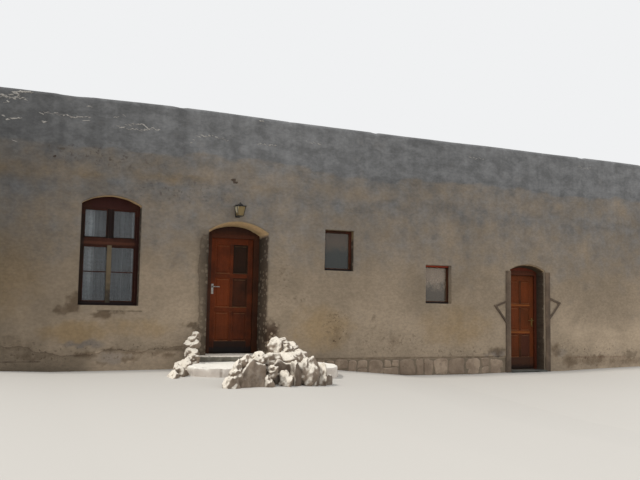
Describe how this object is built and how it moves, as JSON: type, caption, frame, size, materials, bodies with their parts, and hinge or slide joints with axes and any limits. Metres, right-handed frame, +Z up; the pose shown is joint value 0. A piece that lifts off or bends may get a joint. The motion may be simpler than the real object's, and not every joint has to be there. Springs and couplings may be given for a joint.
{
  "type": "adobe house",
  "caption": "Single-storey adobe house with arched doorways, a tall casement window, small windows, stone steps and a flat earth roof behind a parapet.",
  "frame": {"origin": "middle of the wall footprint, on the underside of the floor at the lowest ground level", "axes": "+X along the front wall to the right, +Y from the front to the rear, +Z up"},
  "size_m": [14.4, 7.8875, 4.42],
  "materials": {
    "plaster": "earth plaster with lime patches",
    "weathered_render": "grey weathered render",
    "rubble": "rough rubble in earth mortar",
    "pale_stone": "rough pale limestone",
    "earth": "packed earth",
    "door_wood": "stained and varnished",
    "frame_wood": "dark stain",
    "bare_wood": "faded",
    "timber": "weathered",
    "steel": "satin",
    "iron": "matt",
    "window_glass": "clear",
    "amber_glass": "amber",
    "net": "fine net"
  },
  "bodies": {
    "house": {"front_wall_left": "plaster", "front_wall_middle": "plaster", "front_wall_right": "plaster", "door_1_head": "plaster", "door_2_head": "plaster", "left_wall": "plaster", "right_wall": "plaster", "rear_wall": "plaster", "plinth_front": "rubble", "plinth_rear": "rubble", "plinth_sides": "rubble", "front_parapet": "weathered_render", "rear_parapet": "weathered_render", "side_parapets": "weathered_render", "upper_floor": "earth", "lower_floor": "earth", "door_1_frame": "frame_wood", "door_2_frame": "frame_wood", "frame_hinges": "iron", "door_2_surround": "weathered_render", "door_2_sill": "rubble", "window_1_frame": "frame_wood", "window_1_sashes": "frame_wood", "window_1_cover_strip": "bare_wood", "window_1_glass": "window_glass", "curtain_rod": "iron", "window_1_curtains": "net", "small_window_frames": "frame_wood", "small_window_glass": "window_glass", "lantern_bracket": "iron", "lantern_cage": "iron", "lantern_glass": "amber_glass", "lantern_cap": "iron", "top_step": "pale_stone", "lower_step": "pale_stone", "left_boulders": "pale_stone", "right_boulders": "pale_stone", "foot_slab": "pale_stone", "roof_beams": "timber", "roof_boards": "timber", "roof_earth": "earth", "rain_spouts": "timber"},
    "door_1": {"door_1_leaf": "door_wood", "door_1_ironwork": "steel"},
    "door_1_handle": {"door_1_lever": "steel"},
    "door_2": {"door_2_leaf": "door_wood", "door_2_ironwork": "steel"},
    "door_2_handle": {"door_2_lever": "steel"}
  },
  "joints": [
    {"name": "door_1_swing", "type": "hinge", "parent": "house", "child": "door_1", "pos_m": [-1.9535, -2.152, 1.395], "axis": [0, 0, -1], "range_deg": [0, 105]},
    {"name": "door_1_lever_turn", "type": "hinge", "parent": "door_1", "child": "door_1_handle", "pos_m": [-2.674, -2.182, 1.53], "axis": [0, 1, 0], "range_deg": [0, 45], "stiffness_Nm_per_rad": 1.2, "springref_deg": -40.11},
    {"name": "door_2_swing", "type": "hinge", "parent": "house", "child": "door_2", "pos_m": [3.2925, -2.302, 1], "axis": [0, 0, 1], "range_deg": [0, 95]},
    {"name": "door_2_lever_turn", "type": "hinge", "parent": "door_2", "child": "door_2_handle", "pos_m": [3.915, -2.332, 1.025], "axis": [0, -1, 0], "range_deg": [0, 45], "stiffness_Nm_per_rad": 1.2, "springref_deg": -40.11}
  ]
}
